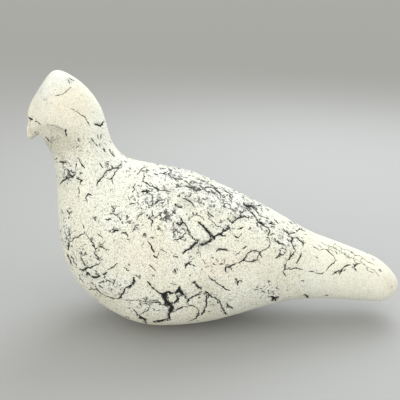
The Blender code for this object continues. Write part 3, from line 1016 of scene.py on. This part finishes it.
coatLook = {
    "ivory": (0.740, 0.727, 0.600, 1.0),
    "chalk": (0.812, 0.814, 0.748, 1.0),
    "warm": (0.790, 0.705, 0.565, 1.0),
    # painted light: the cool tint of light from above
    "paintedCoolTint": (0.725, 0.730, 0.675, 1.0),
    # tan: colour of the dirt and painted shade under the jaw
    "tan": (0.505, 0.480, 0.375, 1.0),
    # grey of the dust and of the painted shade
    "dustAndShade": (0.330, 0.335, 0.290, 1.0),
    "speck": (0.400, 0.400, 0.345, 1.0),
    "crack": (0.020, 0.021, 0.020, 1.0),
    "roughness": 0.92,
    "specular": 0.25,
    # noises: cycles per metre, detail, roughness, offset
    "noises": {
        "cloudy": (34.0, 3.0, 0.5, 0.0),
        "blush": (90.0, 2.0, 0.5, 3.1),
        "grain": (1450.0, 1.0, 0.6, 0.0),
        "mottle": (330.0, 3.0, 0.6, 6.1),
        "pores": (160.0, 2.0, 0.5, 1.7),
        "smoke": (520.0, 4.0, 0.6, 5.3),
        "gaps": (400.0, 2.0, 0.5, 7.7),
        "wander": (520.0, 3.0, 0.65, 2.2),
        "swell": (260.0, 2.0, 0.5, 8.3),
        "fray": (1400.0, 2.0, 0.6, 9.1),
        "crust": (420.0, 3.0, 0.55, 4.4),
    },
    # nets of crazing
    "nets": {
        "tiny": {"Cells": 600.0, "Width": 0.16, "Warp": 0.0016, "Pieces": 600.0},
        "fine": {"Cells": 340.0, "Width": 0.125, "Warp": 0.0026, "Pieces": 310.0},
        "wide": {"Cells": 180.0, "Width": 0.08, "Warp": 0.0050, "Pieces": 240.0},
        "sparse": {"Cells": 190.0, "Width": 0.08, "Warp": 0.0030, "Pieces": 360.0},
    },
    # ramps: from a low and a high value to what is set there
    "ramps": {
        "cloudChalk": (0.38, 0.62, 0.0, 0.45),
        "crazedChalk": (0.25, 0.9, 0.0, 0.75),
        "blush": (0.3, 0.62, 0.25, 0.9),
        "mottle": (0.34, 0.62, 0.96, 1.02),
        "pore": (0.20, 0.48, 1.0, 0.0),
        "poreClouds": (0.40, 0.60, 0.25, 0.9),
        "crazedPores": (0.05, 0.5, 0.40, 1.0),
        "sandyPores": (0.5, 0.8, 0.5, 1.0),
        # dust smudges and painted shade in one mask
        "smudge": (0.38, 0.64, 0.36, 0.78),
        "besideCracks": (0.3, 2.4, 0.42, 0.0),
        "besideWide": (0.12, 0.34, 0.25, 1.0),
        "crazedGate": (0.05, 0.30, 0.0, 1.0),
        "sparse": (0.5, 0.8, 0.35, 0.8),
        "gaps": (0.38, 0.54, 0.30, 1.0),
        "swell": (0.34, 0.64, 0.50, 1.5),
        "fray": (0.32, 0.66, 0.55, 1.4),
        "crackReach": (0.25, 0.60, 1.0, 0.0),
        # painted shade beside the widest cracks, as if in their grooves
        "grooveShade": (0.0, 1.1, 1.0, 0.0),
        "grooveShadeWide": (0.30, 0.9, 0.10, 0.6),
        "grooveShadeSmoke": (0.40, 0.60, 0.1, 1.0),
    },
    "grain": (0.30, 0.54, 1.07),  # low, high and the brightest shade
    "grainSandy": 0.46,  # how much darker sand makes the darkest shade
    "poreCells": 1050.0,
    "poreShare": 0.22,
    "tanAndShadeShare": 0.80,
    "tinyShare": 0.72,
    "wideDensity": 0.8,  # share of the density of the other nets
    "sparseDensity": 0.12,
    "crazeDark": 0.9,
    "crackWander": 1.5,  # millimetres
    "crackSoft": 0.11,  # millimetres of soft edge
    "crackCore": 0.55,  # share of the half width that is quite dark
    "height": (0.4, 0.9, 1.1),  # of the grain, the crust and, downwards, the cracks
    "bump": {"Strength": 0.6, "Distance": 0.0005},
}


def ramped(tree, start, *pairs, **kind):
    # the start times one named ramp for each pair of a socket and a name
    for value, name in pairs:
        factor = ramp(tree, value, *coatLook["ramps"][name], **kind)
        start = factor if start is None else times(tree, start, factor)
    return start


def soundColour(tree, fields, noises):
    # ivory with chalky clouds, then the crazed and warm patches, the painted cool top light and the tan
    # of dirt and painted shade
    chalk = ramped(tree, None, (noises["cloudy"], "cloudChalk"))
    colour = mixColours(tree, chalk, coatLook["ivory"], coatLook["chalk"])
    patches = {
        "chalk": ramped(tree, None, (fields["crazed"], "crazedChalk")),
        "warm": ramped(tree, fields["warm"], (noises["blush"], "blush")),
        # painted cool top light on the crown, forehead and nape
        "paintedCoolTint": fields["paintedCoolLight"],
        # painted shade under the jaw and down the throat, partly tan dirt
        "tan": times(tree, fields["tanAndShade"], coatLook["tanAndShadeShare"]),
    }
    for name, share in patches.items():
        colour = mixColours(tree, share, colour, coatLook[name])
    return colour


def sandyColour(tree, place, colour, fields, noises):
    # fine grain, a coarser mottle and scattered darker pores
    low, high, brightest = coatLook["grain"]
    darkest = minus(tree, brightest, times(tree, fields["sandy"], coatLook["grainSandy"]))
    grain = ramp(tree, noises["grain"], low, high, darkest, brightest, kind="LINEAR")
    shade = ramped(tree, grain, (noises["mottle"], "mottle"), kind="LINEAR")
    colour = mixColours(tree, 1.0, colour, greyColour(tree, shade), "MULTIPLY")
    cells = addNode(tree, "TexVoronoi", {"Vector": place, "Scale": coatLook["poreCells"]}, feature="F1")
    picked = isLess(tree, redOf(tree, cells.outputs["Color"]), coatLook["poreShare"])
    pore = ramped(tree, picked, (cells.outputs["Distance"], "pore"), (noises["pores"], "poreClouds"),
                  (fields["crazed"], "crazedPores"), (fields["sandy"], "sandyPores"))
    return mixColours(tree, pore, colour, coatLook["speck"])


def crazing(tree, place, fields, noises, apart):
    # the nets of fine crazing, denser beside the drawn cracks
    beside = ramped(tree, None, (apart, "besideCracks"), (fields["crackHalf"], "besideWide"))
    density = larger(tree, fields["crazed"], beside)
    densities = {"tiny": density, "fine": density, "sparse": coatLook["sparseDensity"],
                 "wide": times(tree, density, coatLook["wideDensity"])}
    group, nets = makeCrazeGroup(), {}
    for name, settings in coatLook["nets"].items():
        inputs = {"Vector": place, "Density": densities[name], **settings}
        nets[name] = addNode(tree, "Group", inputs, node_tree=group).outputs["Mask"]
    craze = larger(tree, nets["fine"], times(tree, nets["tiny"], coatLook["tinyShare"]))
    craze = ramped(tree, larger(tree, craze, nets["wide"]), (density, "crazedGate"))
    sparse = ramped(tree, nets["sparse"], (fields["sandy"], "sparse"))
    return ramped(tree, larger(tree, craze, sparse), (noises["gaps"], "gaps"))


def drawnCracks(tree, fields, noises, apart):
    # offset across a crack against its half width, both made ragged by noise
    wander = times(tree, minus(tree, noises["wander"], 0.5), coatLook["crackWander"])
    ragged = ramped(tree, None, (noises["swell"], "swell"), (noises["fray"], "fray"), kind="LINEAR")
    edge = times(tree, fields["crackHalf"], ragged)
    offset = sizeOf(tree, plus(tree, fields["crackSide"], wander))
    core = times(tree, edge, coatLook["crackCore"])
    line = ramp(tree, offset, core, plus(tree, edge, coatLook["crackSoft"]), 1.0, 0.0)
    return ramped(tree, line, (apart, "crackReach"))


def makeCoat():
    material = bpy.data.materials.new("crackledCoat")
    material.use_nodes = True
    tree = material.node_tree
    surface = tree.nodes["Principled BSDF"]
    place = addNode(tree, "TexCoord", {}).outputs["Object"]
    fields = {name: addNode(tree, "Attribute", {}, attribute_name=name).outputs["Fac"]
              for name in ("crackNear", "crackSide", "crackHalf", "sandy", *coatPatches)}
    noises = {name: noise(tree, place, *settings) for name, settings in coatLook["noises"].items()}
    apart = minus(tree, fields["crackNear"], fields["crackHalf"])
    colour = soundColour(tree, fields, noises)
    colour = sandyColour(tree, place, colour, fields, noises)

    # dust and painted shade: grey smudges, partly painted shade under the jaw, at the throat and collar
    # and beside the fork, and painted shade along the widest cracks
    # dust smudges, with painted shade under the jaw, at the throat and collar and beside the fork
    smudge = ramped(tree, fields["smudgeAndShade"], (noises["smoke"], "smudge"))
    # painted shade along the widest cracks
    grooveShade = ramped(tree, None, (apart, "grooveShade"), (fields["crackHalf"], "grooveShadeWide"),
                  (noises["smoke"], "grooveShadeSmoke"))
    for share in (smudge, grooveShade):
        colour = mixColours(tree, share, colour, coatLook["dustAndShade"])

    craze = times(tree, crazing(tree, place, fields, noises, apart), coatLook["crazeDark"])
    dark = larger(tree, drawnCracks(tree, fields, noises, apart), craze)
    feed(tree, surface.inputs["Base Color"], mixColours(tree, dark, colour, coatLook["crack"]))
    feed(tree, surface.inputs["Roughness"], coatLook["roughness"])
    feed(tree, surface.inputs["Specular IOR Level"], coatLook["specular"])

    ofGrain, ofCrust, ofCracks = coatLook["height"]
    height = times(tree, noises["grain"], ofGrain)
    height = plus(tree, height, times(tree, noises["crust"], ofCrust))
    height = minus(tree, height, times(tree, dark, ofCracks))
    bump = addNode(tree, "Bump", {"Height": height, **coatLook["bump"]})
    feed(tree, surface.inputs["Normal"], bump.outputs["Normal"])
    return material


bird = makeBird()
bird.data.materials.append(makeCoat())
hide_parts("dove")
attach(bird, "root")
print("bird dressed")


# floor and light
studio = {
    "floor": (0.37, 0.37, 0.365, 1.0),
    "floorRoughness": 0.9,
    "floorHalf": 40.0,  # metres, so that its edge lies at the horizon
    "world": (1.0, 0.995, 0.95, 1.0),
    "worldStrength": 0.97,
    "aim": (0.0, 0.0, 0.06),
    # place, size, power and colour of each soft lamp
    "lamps": {
        "softTop": ((0.14, -0.10, 0.54), 0.5, 0.55, (0.86, 0.93, 1.0)),
        "softLeft": ((-0.44, -0.52, 0.10), 0.3, 1.00, (1.0, 1.0, 0.97)),
        "softRight": ((-0.04, -0.64, 0.12), 0.3, 0.70, (0.98, 0.98, 1.0)),
        "softBack": ((0.16, 0.36, 0.50), 0.5, 2.5, (0.88, 0.94, 1.0)),
    },
}


def makeFloor():
    half = studio["floorHalf"]
    corners = [(-half, -half, 0.0), (half, -half, 0.0), (half, half, 0.0), (-half, half, 0.0)]
    mesh = bpy.data.meshes.new("studioFloor")
    mesh.from_pydata(corners, [], [(0, 1, 2, 3)])
    material = bpy.data.materials.new("paleFloor")
    material.use_nodes = True
    surface = material.node_tree.nodes["Principled BSDF"]
    surface.inputs["Base Color"].default_value = studio["floor"]
    surface.inputs["Roughness"].default_value = studio["floorRoughness"]
    mesh.materials.append(material)
    addToScene("studioFloor", mesh)


def makeLamp(name, place, size, power, colour):
    data = bpy.data.lights.new(name, "AREA")
    data.shape = "DISK"
    data.size = size
    data.energy = power
    data.color = colour
    lamp = addToScene(name, data)
    lamp.location = place
    away = np.array(place) - np.array(studio["aim"])
    flat = math.hypot(away[0], away[1])
    lamp.rotation_euler = (math.atan2(flat, away[2]), 0.0, math.atan2(away[0], -away[1]))


def makeWorld():
    world = bpy.data.worlds.new("softStudio")
    bpy.context.scene.world = world
    world.use_nodes = True
    background = world.node_tree.nodes["Background"]
    background.inputs["Color"].default_value = studio["world"]
    background.inputs["Strength"].default_value = studio["worldStrength"]


makeFloor()
makeWorld()
for lampName, lampSettings in studio["lamps"].items():
    makeLamp(lampName, *lampSettings)
bpy.context.scene.view_settings.view_transform = "Standard"
print("studio made")
